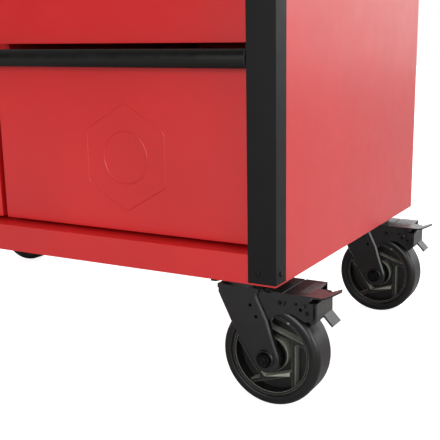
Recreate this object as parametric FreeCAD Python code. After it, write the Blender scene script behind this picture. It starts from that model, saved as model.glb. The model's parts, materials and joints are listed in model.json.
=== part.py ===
import FreeCAD, Part
import math
import os

# Rolling tool chest, in millimetres. +Z is up, the drawers face -Y and the braked casters are at +X.
# The origin is on the floor, under the middle of the whole chest with its wheels and pedals.

Vector = FreeCAD.Vector
X_DIR = Vector(1, 0, 0)
Y_DIR = Vector(0, 1, 0)
Z_DIR = Vector(0, 0, 1)

# Driving dimensions: cabinet
CABINET_WIDTH = 1000.0
CABINET_DEPTH = 622.0
SHEET = 1.5
BASE_SHEET = 2.0
TRIM_SHEET = 1.0
TRIM_WIDTH = 42.0
TRIM_SIDE = 30.0
TRIM_LIFT = 2.5
RAIL_HEIGHT = 40.8
MIDDLE_RAIL_DEPTH = 40.0
MIDDLE_RAIL_HEIGHT = 20.0
DIVIDER_WIDTH = 24.0
SLIDE_WALL_INSET = 53.0
POST_WALL = 60.0
POST_LIFT = 9.0
TRAY_OVERHANG = 6.0
TRAY_SHEET = 2.0
TRAY_RIM = 4.0
TRAY_LIP = 18.0
MAT_THICK = 3.0
MAT_GAP = 3.0

# Driving dimensions: drawers, slides and handles
ROW_PITCHES = {"bottom": 269.0, "middle": 149.0, "upper": 129.0, "top": 99.0}
ROW_GAP = 7.6
LEDGE_GAP = 4.7
FRONT_RECESS = 32.0
FRONT_RETURN = 18.0
FRONT_SIDE_GAP = 4.0
COLUMN_GAP = 10.4
BOX_LIFT = 4.0
BOX_DROP = 26.0
BEHIND_FRONT_GAP = 6.0
REAR_GAP = 60.0
REAR_GRIP = 12.0
BOX_BACK_GAP = 15.0
SLIDE_WIDTH = 12.7
SLIDE_HEIGHT = 45.0
SLIDE_SHEET = 1.5
SLIDE_BALL_GAP = 1.0
SLIDE_OUTER_LIP = 9.0
SLIDE_INNER_LIP = 8.7
SLIDE_RAISE = 28.0
HANDLE_HEIGHT = 25.0
HANDLE_SETBACK = 9.5
HANDLE_BULGE = 4.5
HANDLE_WALL = 2.5
HANDLE_END_GAP = 2.0

# Driving dimensions: casters and wheels
WHEEL_RADIUS = 76.2
TYRE_WIDTH = 51.4
TYRE_ROUND = 9.0
RIM_RADIUS = 60.0
RIM_WALL = 3.5
RIM_WIDTH = 44.0
RIM_WEB = 6.0
RIB_COUNT = 5
RIB_THICK = 5.5
RIB_OFFSET = 34.0
RIB_DEPTH = 36.0
HUB_RING_RADIUS = 25.0
HUB_RING_WALL = 4.0
HUB_RADIUS = 15.0
RIB_FILLET = 4.0
AXLE_RADIUS = 6.0
SHAFT_CLEARANCE = 0.05
CASTER_INSET = 77.0
CASTER_TRAIL = 41.0
RIGID_INSET = 59.0
PLATE_LENGTH = 102.0
BOLT_FROM_FORK = 11.05
PLATE_MARGIN = 10.95
PLATE_THICK = 5.0
PLATE_CORNER = 8.0
PLATE_HOLE_X = 66.7
BOLT_RADIUS = 4.0
BOLT_HOLE_RADIUS = 4.5
BOLT_HEAD_FLATS = 13.0
BOLT_HEAD_HEIGHT = 5.5
RACE_RADIUS = 44.0
RACE_HEIGHT = 6.7
RACE_GAP = 0.3
CROWN_DISC_RADIUS = 40.0
CROWN_DISC_HEIGHT = 5.0
CROWN_SHOULDER = 6.0
CROWN_THICK = 6.0
FORK_GAP = 4.3
HUB_GAP = 0.5
WING_THICK = 5.0
LEG_THICK = 5.0
LEG_END_RADIUS = 21.0
KINGPIN_RADIUS = 6.0
KINGPIN_NUT_RADIUS = 9.0
PIN_RADIUS = 3.0
SHOE_GAP = 4.0
SHOE_THICK = 12.0
CASTER_HEADROOM = 42.6
LEG_BEVEL = 2.5
PEDAL_PLATE = 2.5
PEDAL_REACH = 26.0
PEDAL_SIDE_GAP = 0.4
TAB_THICK = 3.0
PEDAL_EYE_RADIUS = 7.0
PEDAL_TIP_RISE = 5.0
SHOE_HALF = 18.0
SHOE_START_DEG = 40.0
SHOE_END_DEG = 56.0
ARM_HALF = 9.0
ARM_HEIGHT = 7.0
EYE_RADIUS = 6.0
LEG_HOLE_RADIUS = 2.5
AXLE_FLATS = 17.0
AXLE_HEAD = 6.0
AXLE_NUT = 5.4
AXLE_WASHER_RADIUS = 11.0
AXLE_WASHER_THICK = 1.6

# Driving dimensions: push handle, lock and screws
PUSH_HANDLE_Z = 840.0
PUSH_HANDLE_LENGTH = 420.0
PUSH_HANDLE_RADIUS = 12.5
PUSH_HANDLE_STAND = 50.0
PUSH_HANDLE_BEND = 26.0
PUSH_FLANGE_RADIUS = 24.0
PUSH_FLANGE_THICK = 4.0
LOCK_INSET = 90.0
LOCK_BARREL_RADIUS = 8.9
LOCK_HOLE_RADIUS = 9.0
LOCK_FLANGE_RADIUS = 11.5
LOCK_LENGTH = 24.0
LOCK_PLUG_RADIUS = 6.0
SCREW_HEAD_RADIUS = 3.8
SCREW_HEAD_HEIGHT = 1.6
SCREW_SHANK_RADIUS = 2.0
SCREW_FROM_EDGE = 27.3
SCREW_FROM_FRONT = 14.5
SCREW_FROM_END = 13.5

# Places that follow from the driving dimensions
BODY_BOTTOM = 2 * WHEEL_RADIUS + CASTER_HEADROOM
LEFT_OVERHANG = WHEEL_RADIUS - RIGID_INSET
RIGHT_OVERHANG = WHEEL_RADIUS + PEDAL_REACH + CASTER_TRAIL - CASTER_INSET
CENTRE_X = (LEFT_OVERHANG - RIGHT_OVERHANG) / 2
LEFT = CENTRE_X - CABINET_WIDTH / 2
RIGHT = CENTRE_X + CABINET_WIDTH / 2
FRONT = -CABINET_DEPTH / 2
BACK = CABINET_DEPTH / 2
BODY_FRONT = FRONT + TRIM_SHEET
BASE_TOP = BODY_BOTTOM + BASE_SHEET
POST_Z = BASE_TOP + POST_LIFT
LEDGE_Z = BODY_BOTTOM + RAIL_HEIGHT
FRONT_FACE_Y = FRONT + FRONT_RECESS
STEP_Y = FRONT_FACE_Y + FRONT_RETURN + BEHIND_FRONT_GAP
FIRST_FRONT_Z = LEDGE_Z + LEDGE_GAP
TOP_RAIL_Z = FIRST_FRONT_Z + sum(ROW_PITCHES.values()) - ROW_GAP + LEDGE_GAP
BODY_TOP = TOP_RAIL_Z + RAIL_HEIGHT
TOP_ROW_Z = FIRST_FRONT_Z + sum(ROW_PITCHES.values()) - ROW_PITCHES["top"]
MIDDLE_RAIL_TOP = TOP_ROW_Z - SHEET
MIDDLE_RAIL_BOTTOM = MIDDLE_RAIL_TOP - MIDDLE_RAIL_HEIGHT
SLIDE_END_Y = BACK - SHEET - REAR_GAP
BOX_BACK_Y = SLIDE_END_Y - BOX_BACK_GAP
SIDE_WALL_INSET = TRIM_SHEET + SHEET
WING_INNER = TYRE_WIDTH / 2 + FORK_GAP
WING_OUTER = WING_INNER + WING_THICK
HUB_LENGTH = 2 * (WING_INNER - HUB_GAP)
LEG_OUTER = WING_OUTER + LEG_THICK
PLATE_HOLE_Y = 2 * (WING_OUTER + BOLT_FROM_FORK)
PLATE_WIDTH = PLATE_HOLE_Y + 2 * PLATE_MARGIN
PLATE_Z = BODY_BOTTOM - PLATE_THICK
RACE_Z = PLATE_Z - RACE_HEIGHT
CROWN_DISC_TOP = RACE_Z - RACE_GAP
CROWN_TOP = CROWN_DISC_TOP - CROWN_DISC_HEIGHT
CROWN_BOTTOM = CROWN_TOP - CROWN_THICK
CASTER_YS = {"front": FRONT + CASTER_INSET, "rear": BACK - CASTER_INSET}
SWIVEL_X = RIGHT - CASTER_INSET
WHEEL_X = SWIVEL_X + CASTER_TRAIL
RIGID_X = LEFT + RIGID_INSET

# Places on a swivel caster, as (x, z) with x from the wheel's centre. The brake keeps its place
# behind the tread, so it moves out with the wheel, and everything above hangs from the crown.
BRAKE_X = WHEEL_RADIUS - 6.2
PEDAL_PIN = (BRAKE_X - 48, CROWN_TOP - 16)
TAB_PIN = (BRAKE_X - 8, CROWN_TOP - 27)
AXLE = (0, WHEEL_RADIUS)
LEG_HOLES = [(-23, CROWN_TOP - 25), (-14, CROWN_TOP - 41), (BRAKE_X - 25, CROWN_TOP - 15),
             (BRAKE_X - 12, CROWN_TOP - 17), (BRAKE_X - 18, CROWN_TOP - 23)]
YOKE_BORES = [AXLE + (AXLE_RADIUS,), PEDAL_PIN + (PIN_RADIUS,), TAB_PIN + (PIN_RADIUS,)]


def block(x0, x1, y0, y1, z0, z1):
    """Box between two corners."""
    return Part.makeBox(x1 - x0, y1 - y0, z1 - z0, Vector(x0, y0, z0))


def side_block(side, inset0, inset1, y0, y1, z0, z1):
    """Box given by its distances in from the left (-1) or right (+1) side of the cabinet."""
    edge = CENTRE_X + side * CABINET_WIDTH / 2
    low, high = sorted((edge - side * inset0, edge - side * inset1))
    return block(low, high, y0, y1, z0, z1)


def joined(shapes):
    """One solid made of several that touch or overlap."""
    whole = shapes[0].multiFuse(shapes[1:]) if len(shapes) > 1 else shapes[0]
    return whole.removeSplitter()


def prism_y(points, y0, y1):
    """Outline of (x, z) points, straight-sided, standing between two Y planes."""
    corners = [Vector(x, y0, z) for x, z in points]
    face = Part.Face(Part.makePolygon(corners + corners[:1]))
    return face.extrude(Vector(0, y1 - y0, 0))


def disc_y(radius, x, z, y0, y1):
    """Cylinder along Y."""
    return Part.makeCylinder(radius, y1 - y0, Vector(x, y0, z), Y_DIR)


def strip_y(start, end, thick, y0, y1):
    """Flat bar between two (x, z) points, seen edge-on along Y."""
    along = Vector(end[0] - start[0], 0, end[1] - start[1])
    across = Vector(-along.z, 0, along.x)
    across.normalize()
    across.multiply(thick / 2)
    points = []
    for point, sign in ((start, 1), (end, 1), (end, -1), (start, -1)):
        points.append((point[0] + sign * across.x, point[1] + sign * across.z))
    return prism_y(points, y0, y1)


def hexagon(flats, height, base, direction):
    """Hexagonal prism of the given width across flats."""
    corner = flats / 2 / math.cos(math.pi / 6)
    ring = [Vector(corner * math.cos(k * math.pi / 3), corner * math.sin(k * math.pi / 3), 0)
            for k in range(6)]
    shape = Part.Face(Part.makePolygon(ring + ring[:1])).extrude(Vector(0, 0, height))
    shape.Placement = FreeCAD.Placement(base, FreeCAD.Rotation(Z_DIR, direction))
    return shape


def save(name, shapes):
    """Write one node, made of one or several separate solids."""
    whole = shapes[0] if len(shapes) == 1 else Part.makeCompound(shapes)
    whole.exportStep("parts/" + name + ".step")


def side_panel(side):
    """Outer wall folded at the front into a post, whose inner wall carries the slides."""
    wall = side_block(side, TRIM_SHEET, SIDE_WALL_INSET, BODY_FRONT, BACK, BODY_BOTTOM, BODY_TOP)
    front = side_block(side, TRIM_SHEET, TRIM_WIDTH, BODY_FRONT, BODY_FRONT + SHEET, BODY_BOTTOM, BODY_TOP)
    inner = side_block(side, TRIM_WIDTH - SHEET, TRIM_WIDTH, BODY_FRONT, STEP_Y, POST_Z, BODY_TOP)
    step = side_block(side, TRIM_WIDTH - SHEET, SLIDE_WALL_INSET, STEP_Y - SHEET, STEP_Y, POST_Z, BODY_TOP)
    carrier = side_block(side, SLIDE_WALL_INSET - SHEET, SLIDE_WALL_INSET,
                         STEP_Y - SHEET, STEP_Y + POST_WALL, POST_Z, BODY_TOP)
    panel = joined([wall, front, inner, step, carrier])
    for hole in trim_screw_holes(side):
        panel = panel.cut(hole)
    return panel


def corner_trim(side):
    """Thin angle over the front corner, a little clear of the bottom edge."""
    low = BODY_BOTTOM + TRIM_LIFT
    front = side_block(side, 0, TRIM_WIDTH, FRONT, BODY_FRONT, low, BODY_TOP)
    flank = side_block(side, 0, TRIM_SHEET, FRONT, FRONT + TRIM_SIDE, low, BODY_TOP)
    trim = joined([front, flank])
    for hole in trim_screw_holes(side):
        trim = trim.cut(hole)
    return trim


def trim_screw_places(side):
    """Head position and outward direction of each screw in one corner trim."""
    low = BODY_BOTTOM + TRIM_LIFT + SCREW_FROM_END
    high = BODY_TOP - SCREW_FROM_END
    edge = CENTRE_X + side * CABINET_WIDTH / 2
    places = []
    for z in (low, high):
        places.append((Vector(edge - side * SCREW_FROM_EDGE, FRONT, z), Vector(0, -1, 0)))
        places.append((Vector(edge, FRONT + SCREW_FROM_FRONT, z), Vector(side, 0, 0)))
    return places


def trim_screw_holes(side):
    """Holes through the trim and the sheet under it."""
    reach = TRIM_SHEET + 2 * SHEET
    holes = []
    for place, outward in trim_screw_places(side):
        holes.append(Part.makeCylinder(SCREW_SHANK_RADIUS + SHAFT_CLEARANCE, reach, place, -outward))
    return holes


def trim_screw(place, outward):
    """Low round head with its shank through the trim and the sheet."""
    head = Part.makeCylinder(SCREW_HEAD_RADIUS, SCREW_HEAD_HEIGHT, place, outward)
    rim = [edge for edge in head.Edges if (edge.BoundBox.Center - place).dot(outward) > SCREW_HEAD_HEIGHT / 2
           and len(edge.Vertexes) == 1]
    head = head.makeFillet(SCREW_HEAD_HEIGHT * 0.6, rim)
    shank = Part.makeCylinder(SCREW_SHANK_RADIUS, TRIM_SHEET + 2 * SHEET, place, -outward)
    return joined([head, shank])


def folded_rail(low, high, ledge_low):
    """Front rail between the posts: front wall, a ledge on its inner edge, and a rear wall."""
    front = side_span(TRIM_WIDTH, BODY_FRONT, BODY_FRONT + SHEET, low, high)
    ledge = side_span(TRIM_WIDTH, BODY_FRONT, STEP_Y, ledge_low, ledge_low + SHEET)
    rear = side_span(TRIM_WIDTH, STEP_Y - SHEET, STEP_Y, max(low, BASE_TOP), high)
    step_cut = [side_block(side, 0, SLIDE_WALL_INSET, STEP_Y - SHEET, STEP_Y, low, high) for side in (-1, 1)]
    return joined([front, ledge, rear]).cut(Part.makeCompound(step_cut))


def side_span(inset, y0, y1, z0, z1):
    """Box that spans the cabinet between equal insets from both sides."""
    return block(LEFT + inset, RIGHT - inset, y0, y1, z0, z1)


def bottom_rail():
    """Rail under the lowest drawers, its ledge uppermost."""
    return folded_rail(BODY_BOTTOM, LEDGE_Z, LEDGE_Z - SHEET)


def top_rail():
    """Rail over the top drawer, its ledge undermost, with the hole for the lock."""
    rail = folded_rail(TOP_RAIL_Z, BODY_TOP, TOP_RAIL_Z)
    return rail.cut(disc_y(LOCK_HOLE_RADIUS, *lock_centre(), BODY_FRONT, BODY_FRONT + SHEET))


def middle_rail():
    """Channel across the cabinet between the two columns and the top drawer."""
    rear_y = STEP_Y + MIDDLE_RAIL_DEPTH
    top = side_span(SLIDE_WALL_INSET, STEP_Y, rear_y, MIDDLE_RAIL_TOP - SHEET, MIDDLE_RAIL_TOP)
    front = side_span(SLIDE_WALL_INSET, STEP_Y, STEP_Y + SHEET, MIDDLE_RAIL_BOTTOM, MIDDLE_RAIL_TOP)
    rear = side_span(SLIDE_WALL_INSET, rear_y - SHEET, rear_y, MIDDLE_RAIL_BOTTOM, MIDDLE_RAIL_TOP)
    return joined([top, front, rear])


def back_panel():
    """Flat back with two flanges folded forwards to hold the rear ends of the slides."""
    shapes = [side_span(SIDE_WALL_INSET, BACK - SHEET, BACK, BASE_TOP, BODY_TOP)]
    for side in (-1, 1):
        shapes.append(side_block(side, SLIDE_WALL_INSET - SHEET, SLIDE_WALL_INSET,
                                 SLIDE_END_Y - REAR_GRIP, BACK, BASE_TOP, BODY_TOP))
    return joined(shapes)


def base_pan():
    """Floor of the cabinet with the holes for the caster bolts."""
    pan = side_span(SIDE_WALL_INSET, BODY_FRONT + SHEET, BACK, BODY_BOTTOM, BASE_TOP)
    return pan.cut(Part.makeCompound(caster_bolt_holes()))


def column_divider():
    """Hollow box between the two columns of drawers."""
    half = DIVIDER_WIDTH / 2
    outer = block(CENTRE_X - half, CENTRE_X + half, STEP_Y, BACK - SHEET, BASE_TOP, MIDDLE_RAIL_BOTTOM)
    hollow = block(CENTRE_X - half + SHEET, CENTRE_X + half - SHEET, STEP_Y + SHEET, BACK - 2 * SHEET,
                   BASE_TOP, MIDDLE_RAIL_BOTTOM)
    return outer.cut(hollow)


def top_tray():
    """Shallow tray with a raised rim that overhangs the cabinet all round."""
    outer = block(LEFT - TRAY_OVERHANG, RIGHT + TRAY_OVERHANG, FRONT - TRAY_OVERHANG, BACK + TRAY_OVERHANG,
                  BODY_TOP, BODY_TOP + TRAY_LIP)
    upright = [edge for edge in outer.Edges if edge.BoundBox.ZLength > TRAY_LIP / 2]
    outer = outer.makeFillet(TRAY_OVERHANG + TRAY_RIM, upright)
    inset = TRAY_RIM - TRAY_OVERHANG
    floor = BODY_TOP + TRAY_SHEET
    well = block(LEFT + inset, RIGHT - inset, FRONT + inset, BACK - inset, floor, BODY_TOP + TRAY_LIP)
    upright = [edge for edge in well.Edges if edge.BoundBox.ZLength > TRAY_LIP / 2]
    return outer.cut(well.makeFillet(TRAY_OVERHANG, upright))


def top_mat():
    """Rubber mat that lies in the tray."""
    inset = TRAY_RIM - TRAY_OVERHANG + MAT_GAP
    base = BODY_TOP + TRAY_SHEET
    mat = block(LEFT + inset, RIGHT - inset, FRONT + inset, BACK - inset, base, base + MAT_THICK)
    upright = [edge for edge in mat.Edges if edge.BoundBox.ZLength > MAT_THICK / 2]
    return mat.makeFillet(TRAY_OVERHANG, upright)


def drawer_plan():
    """Name, front extent in X, slide walls in X, and front extent in Z of every drawer."""
    half_gap = COLUMN_GAP / 2
    half_divider = DIVIDER_WIDTH / 2
    front_inset = TRIM_WIDTH + FRONT_SIDE_GAP
    left_wall = LEFT + SLIDE_WALL_INSET
    right_wall = RIGHT - SLIDE_WALL_INSET
    columns = {
        "left": (LEFT + front_inset, CENTRE_X - half_gap, left_wall, CENTRE_X - half_divider),
        "right": (CENTRE_X + half_gap, RIGHT - front_inset, CENTRE_X + half_divider, right_wall),
    }
    full = (LEFT + front_inset, RIGHT - front_inset, left_wall, right_wall)
    plan = []
    low = FIRST_FRONT_Z
    for row, pitch in ROW_PITCHES.items():
        high = low + pitch - ROW_GAP
        if row == "top":
            plan.append(("top_drawer",) + full + (low, high))
        else:
            for column, extent in columns.items():
                plan.append((row + "_" + column + "_drawer",) + extent + (low, high))
        low += pitch
    return plan


def shell_open(outer, wall, open_side):
    """Box of sheet metal with one side left open, from the extent of its outside."""
    x0, x1, y0, y1, z0, z1 = outer
    inner = [x0 + wall, x1 - wall, y0 + wall, y1 - wall, z0 + wall, z1 - wall]
    if open_side == "back":
        inner[3] = y1
    else:
        inner[5] = z1
    return block(*outer).cut(block(*inner))


def drawer_box(x0, x1, wall0, wall1, z0, z1):
    """Folded front with its returns, and the open-topped box behind it."""
    front = shell_open((x0, x1, FRONT_FACE_Y, FRONT_FACE_Y + FRONT_RETURN, z0, z1), SHEET, "back")
    tray = shell_open((wall0 + SLIDE_WIDTH, wall1 - SLIDE_WIDTH, FRONT_FACE_Y, BOX_BACK_Y,
                       z0 + BOX_LIFT, z1 - BOX_DROP), SHEET, "top")
    return joined([front, tray])


def drawer_handle(x0, x1, z1):
    """Extruded pull: a bowed lip in front of a finger groove that is open at the top."""
    lip = FRONT_FACE_Y - FRONT_RECESS + HANDLE_SETBACK
    low = z1 - HANDLE_HEIGHT
    middle = z1 - HANDLE_HEIGHT / 2
    start = x0 + HANDLE_END_GAP

    def at(y, z):
        return Vector(start, y, z)

    back = FRONT_FACE_Y
    wall = HANDLE_WALL
    outer_bow = Part.Arc(at(lip, low), at(lip - HANDLE_BULGE, middle), at(lip, z1)).toShape()
    inner_bow = Part.Arc(at(lip + wall, z1), at(lip + wall - HANDLE_BULGE, middle + wall / 2),
                         at(lip + wall, low + wall)).toShape()
    floor_path = [at(lip + wall, low + wall), at(back - wall, low + wall), at(back - wall, z1), at(back, z1),
                  at(back, low), at(lip, low)]
    top_edge = Part.makeLine(at(lip, z1), at(lip + wall, z1))
    outline = Part.Wire([outer_bow, top_edge, inner_bow] + Part.makePolygon(floor_path).Edges)
    return Part.Face(outline).extrude(Vector(x1 - x0 - 2 * HANDLE_END_GAP, 0, 0))


def slide_channel(wall_x, inwards, outset, lip, height, z):
    """One slide member: a web parallel to the drawer side with two lips."""
    web_out = outset + SLIDE_SHEET
    lip_out = outset + lip
    if outset > 0:
        web_out = outset - SLIDE_SHEET
        lip_out = outset - lip

    def part(out0, out1, z0, z1):
        low, high = sorted((wall_x + inwards * out0, wall_x + inwards * out1))
        return block(low, high, STEP_Y, SLIDE_END_Y, z0, z1)

    base, top = z - height / 2, z + height / 2
    return joined([part(outset, web_out, base, top), part(outset, lip_out, base, base + SLIDE_SHEET),
                   part(outset, lip_out, top - SLIDE_SHEET, top)])


def slide_pair(wall0, wall1, z0, moving):
    """Both slide members of one kind for one drawer: outer on the cabinet or inner on the box."""
    z = z0 + BOX_LIFT + SLIDE_RAISE
    inner_height = SLIDE_HEIGHT - 2 * (SLIDE_SHEET + SLIDE_BALL_GAP)
    members = []
    for wall_x, inwards in ((wall0, 1), (wall1, -1)):
        if moving:
            members.append(slide_channel(wall_x, inwards, SLIDE_WIDTH, SLIDE_INNER_LIP, inner_height, z))
        else:
            members.append(slide_channel(wall_x, inwards, 0, SLIDE_OUTER_LIP, SLIDE_HEIGHT, z))
    return members


def caster_places():
    """Plate centre of every caster."""
    return [(x, y) for x in (RIGID_X, SWIVEL_X) for y in CASTER_YS.values()]


def bolt_places(x, y):
    """Centres of the four plate bolts."""
    return [(x + sx * PLATE_HOLE_X / 2, y + sy * PLATE_HOLE_Y / 2) for sx in (-1, 1) for sy in (-1, 1)]


def caster_bolt_holes():
    """Holes through the caster plates and the base pan."""
    height = PLATE_THICK + BASE_SHEET
    return [Part.makeCylinder(BOLT_HOLE_RADIUS, height, Vector(bx, by, PLATE_Z))
            for x, y in caster_places() for bx, by in bolt_places(x, y)]


def caster_bolt(x, y):
    """Hexagon bolt up through plate and pan."""
    head = hexagon(BOLT_HEAD_FLATS, BOLT_HEAD_HEIGHT, Vector(x, y, PLATE_Z - BOLT_HEAD_HEIGHT), Z_DIR)
    length = PLATE_THICK + BASE_SHEET + BOLT_HEAD_HEIGHT + SHEET
    return joined([head, Part.makeCylinder(BOLT_RADIUS, length, Vector(x, y, PLATE_Z))])


def caster_nut(x, y):
    """Hexagon nut on top of the base pan."""
    nut = hexagon(BOLT_HEAD_FLATS, BOLT_HEAD_HEIGHT, Vector(x, y, BASE_TOP), Z_DIR)
    bore = Part.makeCylinder(BOLT_RADIUS + SHAFT_CLEARANCE, BOLT_HEAD_HEIGHT, Vector(x, y, BASE_TOP))
    return nut.cut(bore)


def plate_blank(x, y):
    """Rectangular caster plate with rounded corners."""
    plate = block(x - PLATE_LENGTH / 2, x + PLATE_LENGTH / 2, y - PLATE_WIDTH / 2, y + PLATE_WIDTH / 2,
                  PLATE_Z, BODY_BOTTOM)
    corners = [edge for edge in plate.Edges if edge.BoundBox.ZLength > PLATE_THICK / 2]
    return plate.makeFillet(PLATE_CORNER, corners)


def swivel_plate(y):
    """Top plate with its raceway and the kingpin that the yoke turns on."""
    race = Part.makeCylinder(RACE_RADIUS, RACE_HEIGHT, Vector(SWIVEL_X, y, RACE_Z))
    nut_z = CROWN_BOTTOM - RACE_GAP - KINGPIN_NUT_RADIUS
    pin = Part.makeCylinder(KINGPIN_RADIUS, RACE_Z - nut_z, Vector(SWIVEL_X, y, nut_z))
    nut = hexagon(2 * KINGPIN_NUT_RADIUS, KINGPIN_NUT_RADIUS, Vector(SWIVEL_X, y, nut_z), Z_DIR)
    return joined([plate_blank(SWIVEL_X, y), race, pin, nut]).cut(Part.makeCompound(caster_bolt_holes()))


def mirrored_pair(shape, y):
    """The shape and its mirror image about the wheel's own middle plane."""
    return [shape, shape.mirror(Vector(0, y, 0), Y_DIR)]


def tangent_point(start, turn):
    """Where the line from start (x, z) touches the fork's round lower end; turn is -1 or 1."""
    dx, dz = AXLE[0] - start[0], AXLE[1] - start[1]
    distance = math.hypot(dx, dz)
    angle = math.atan2(dz, dx) + turn * math.asin(LEG_END_RADIUS / distance)
    reach = math.sqrt(distance ** 2 - LEG_END_RADIUS ** 2)
    return (start[0] + reach * math.cos(angle), start[1] + reach * math.sin(angle))


def yoke(y):
    """Swivelling fork: crown, two raised legs to the axle and side wings that carry the brake."""
    crown_left = CROWN_SHOULDER - CASTER_TRAIL - CROWN_DISC_RADIUS
    top = CROWN_TOP
    elbow = (-55, top - 53)
    heel = (10, top - 68)
    throat = (3, top - 45)
    wing = [(crown_left + 9, top), (-10, top), (0, top - 5), (BRAKE_X - 42, top - 6.5), (BRAKE_X, top - 12.5),
            (BRAKE_X, top - 38), (BRAKE_X - 12, top - 40), (BRAKE_X - 30, top - 31), (BRAKE_X - 40, top - 31),
            (15, top - 36), throat, (-20, top - 66), (-44, top - 50), (crown_left + 9, top - 18)]
    leg = [(crown_left, top), (crown_left, top - 13), elbow, tangent_point(elbow, -1), tangent_point(heel, 1),
           heel, throat, (-13, top - 13), (-13, top)]
    y0 = y - LEG_OUTER
    leg_plate = joined([prism_y(leg, y0, y - WING_OUTER), disc_y(LEG_END_RADIUS, *AXLE, y0, y - WING_OUTER)])
    outline = [edge for edge in leg_plate.Edges if abs(edge.BoundBox.YMax - y0) < 0.01]
    leg_plate = leg_plate.makeChamfer(LEG_BEVEL, outline)
    lower_leg = [elbow, tangent_point(elbow, -1), tangent_point(heel, 1), heel, throat]
    flank = joined([leg_plate, disc_y(LEG_END_RADIUS, *AXLE, y - WING_OUTER, y - WING_INNER),
                    prism_y(wing, y - WING_OUTER, y - WING_INNER),
                    prism_y(lower_leg, y - WING_OUTER, y - WING_INNER)])
    for x, z in LEG_HOLES:
        flank = flank.cut(disc_y(LEG_HOLE_RADIUS, x, z, y0, y - WING_INNER))
    for x, z, radius in YOKE_BORES:
        flank = flank.cut(disc_y(radius + SHAFT_CLEARANCE, x, z, y0, y - WING_INNER))
    crown = block(crown_left, -10, y0, y + LEG_OUTER, CROWN_BOTTOM, top)
    disc = Part.makeCylinder(CROWN_DISC_RADIUS, CROWN_DISC_HEIGHT, Vector(-CASTER_TRAIL, y, top))
    whole = joined(mirrored_pair(flank, y) + [crown, disc])
    foot = Vector(-CASTER_TRAIL, y, CROWN_BOTTOM)
    return whole.cut(Part.makeCylinder(KINGPIN_RADIUS + SHAFT_CLEARANCE, WHEEL_RADIUS, foot))


def axle_bolt(x, y, outer):
    """Axle bolt with head, washer and nut outside the fork legs: two separate solids."""
    z = WHEEL_RADIUS
    washer_y = y - outer - AXLE_WASHER_THICK
    end_y = washer_y - AXLE_NUT - 2
    shank = disc_y(AXLE_RADIUS, x, z, end_y, y + outer)
    head = hexagon(AXLE_FLATS, AXLE_HEAD, Vector(x, y + outer, z), Y_DIR)
    washer = disc_y(AXLE_WASHER_RADIUS, x, z, washer_y, y - outer)
    nut = hexagon(AXLE_FLATS, AXLE_NUT, Vector(x, washer_y, z), -Y_DIR)
    bore = disc_y(AXLE_RADIUS + SHAFT_CLEARANCE, x, z, end_y, y - outer)
    return [joined([shank, head]), joined([washer, nut]).cut(bore)]


def brake_pins(y):
    """Cross pins of the pedal and of the release tab."""
    half = WING_OUTER + PEDAL_SIDE_GAP + PEDAL_PLATE + 1
    return [disc_y(PIN_RADIUS, *PEDAL_PIN, y - half, y + half),
            disc_y(PIN_RADIUS, *TAB_PIN, y - WING_OUTER, y + WING_OUTER)]


def brake_pedal(y):
    """Foot lever: a plate notched on its far side, a tapered tip and two cheeks outside the wings."""
    low = CROWN_TOP - 4
    high = low + PEDAL_PLATE
    rise = PEDAL_TIP_RISE
    inside = WING_OUTER + PEDAL_SIDE_GAP
    outside = inside + PEDAL_PLATE
    tip_x = WHEEL_RADIUS + PEDAL_REACH
    plan = [(8, -outside), (BRAKE_X + 19, -outside), (BRAKE_X + 25, -30), (tip_x, -9), (tip_x - 4, 3),
            (BRAKE_X + 14, -7), (BRAKE_X + 3, 2), (BRAKE_X - 6, 2), (BRAKE_X - 9, outside), (8, outside)]
    corners = [Vector(x, y + offset, low - 10) for x, offset in plan]
    blank = Part.Face(Part.makePolygon(corners + corners[:1])).extrude(Vector(0, 0, 40))
    profile = [(8, low), (BRAKE_X + 15, low), (tip_x, low + rise), (tip_x, high + rise), (BRAKE_X + 14, high),
               (8, high)]
    plate = prism_y(profile, y - outside, y + outside).common(blank)
    cheek = [(8, high), (8, low - 5), (16, low - 9), (BRAKE_X - 8, low - 9), (BRAKE_X - 2, low - 4),
             (BRAKE_X - 2, high)]
    shapes = [plate]
    for near in (y - outside, y + inside):
        far = near + PEDAL_PLATE
        shapes += [prism_y(cheek, near, far), disc_y(PEDAL_EYE_RADIUS, *PEDAL_PIN, near, far)]
    groove = block(26, 29, y - outside, y + outside, high - 1, high)
    pin_hole = disc_y(PIN_RADIUS + SHAFT_CLEARANCE, *PEDAL_PIN, y - outside, y + outside)
    far_end = block(BRAKE_X - 8, BRAKE_X, y, y + outside + 1, low - 10, high + 1)
    return joined(shapes).cut(Part.makeCompound([groove])).cut(pin_hole).cut(far_end.cut(blank))


def brake_shoe(y):
    """Curved shoe that hangs from the pedal's pin just off the tread."""
    inner = WHEEL_RADIUS + SHOE_GAP
    reach = 2 * WHEEL_RADIUS
    y0, y1 = y - SHOE_HALF, y + SHOE_HALF
    ring = disc_y(inner + SHOE_THICK, *AXLE, y0, y1).cut(disc_y(inner, *AXLE, y0, y1))

    def ray(length, degrees):
        angle = math.radians(degrees)
        return (length * math.cos(angle), AXLE[1] + length * math.sin(angle))

    shoe = ring.common(prism_y([AXLE, ray(reach, SHOE_START_DEG), ray(reach, SHOE_END_DEG)], y0, y1))
    arm_end = ray(inner + SHOE_THICK / 2, (SHOE_START_DEG + SHOE_END_DEG) / 2 + 1)
    arm = strip_y(PEDAL_PIN, arm_end, ARM_HEIGHT, y - ARM_HALF, y + ARM_HALF)
    eye = disc_y(EYE_RADIUS, *PEDAL_PIN, y - ARM_HALF, y + ARM_HALF)
    return joined([shoe, arm, eye]).cut(disc_y(PIN_RADIUS + SHAFT_CLEARANCE, *PEDAL_PIN, y0, y1))


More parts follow.
